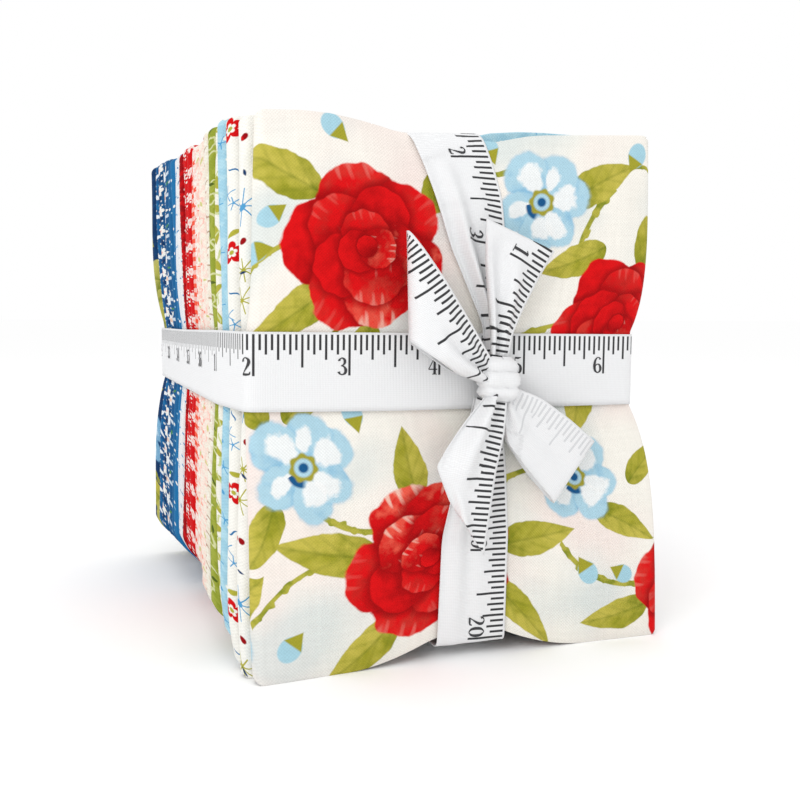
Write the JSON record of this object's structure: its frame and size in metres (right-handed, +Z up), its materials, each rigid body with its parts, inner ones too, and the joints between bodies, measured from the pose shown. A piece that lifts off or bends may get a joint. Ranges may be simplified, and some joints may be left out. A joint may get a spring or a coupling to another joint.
{
  "type": "fat quarter bundle",
  "caption": "Standing stack of folded printed quilting cottons, tied both ways with a ribbon that ends in a bow on the front.",
  "frame": {"origin": "middle of the whole bundle's box, at the surface it stands on", "axes": "+Z up; -Y out of the front piece, on the side of the bow; +X to the right as the front is seen"},
  "size_m": [0.1316, 0.166, 0.15],
  "materials": {
    "cotton_01": "woven quilting cotton, large flower print on cream",
    "cotton_02": "woven quilting cotton, starbursts and dots on white",
    "cotton_03": "woven quilting cotton, red flower sprigs on white",
    "cotton_04": "woven quilting cotton, pale blue with small dots",
    "cotton_05": "woven quilting cotton, green leaf print",
    "cotton_06": "woven quilting cotton, olive print",
    "cotton_07": "woven quilting cotton, brown line print on cream",
    "cotton_08": "woven quilting cotton, cream print",
    "cotton_09": "woven quilting cotton, blush print",
    "cotton_10": "woven quilting cotton, pink print",
    "cotton_11": "woven quilting cotton, pale coral print",
    "cotton_12": "woven quilting cotton, coral check",
    "cotton_13": "woven quilting cotton, red with white flowers",
    "cotton_14": "woven quilting cotton, red with white flowers, second",
    "cotton_15": "woven quilting cotton, deep red",
    "cotton_16": "woven quilting cotton, blue flecks on white",
    "cotton_17": "woven quilting cotton, blue sprigs on white",
    "cotton_18": "woven quilting cotton, blue with white dots",
    "cotton_19": "woven quilting cotton, blue with white dots, second",
    "cotton_20": "woven quilting cotton, blue with white petals",
    "cotton_21": "woven quilting cotton, blue with white petals, second",
    "cotton_22": "woven quilting cotton, small blue and white print",
    "cotton_23": "woven quilting cotton, small blue and white print, second",
    "cotton_24": "woven quilting cotton, navy with olive motif",
    "ribbon_white": "white woven ribbon printed with black measuring marks"
  },
  "bodies": {
    "root": {"fat_quarter_01": "cotton_01", "fat_quarter_02": "cotton_02", "fat_quarter_03": "cotton_03", "fat_quarter_04": "cotton_04", "fat_quarter_05": "cotton_05", "fat_quarter_06": "cotton_06", "fat_quarter_07": "cotton_07", "fat_quarter_08": "cotton_08", "fat_quarter_09": "cotton_09", "fat_quarter_10": "cotton_10", "fat_quarter_11": "cotton_11", "fat_quarter_12": "cotton_12", "fat_quarter_13": "cotton_13", "fat_quarter_14": "cotton_14", "fat_quarter_15": "cotton_15", "fat_quarter_16": "cotton_16", "fat_quarter_17": "cotton_17", "fat_quarter_18": "cotton_18", "fat_quarter_19": "cotton_19", "fat_quarter_20": "cotton_20", "fat_quarter_21": "cotton_21", "fat_quarter_22": "cotton_22", "fat_quarter_23": "cotton_23", "fat_quarter_24": "cotton_24", "ribbon_band_across": "ribbon_white", "ribbon_band_upright": "ribbon_white", "bow_knot": "ribbon_white", "bow_loop_upper": "ribbon_white", "bow_loop_lower": "ribbon_white", "bow_tail_upper": "ribbon_white", "bow_tail_lower": "ribbon_white"}
  },
  "joints": []
}
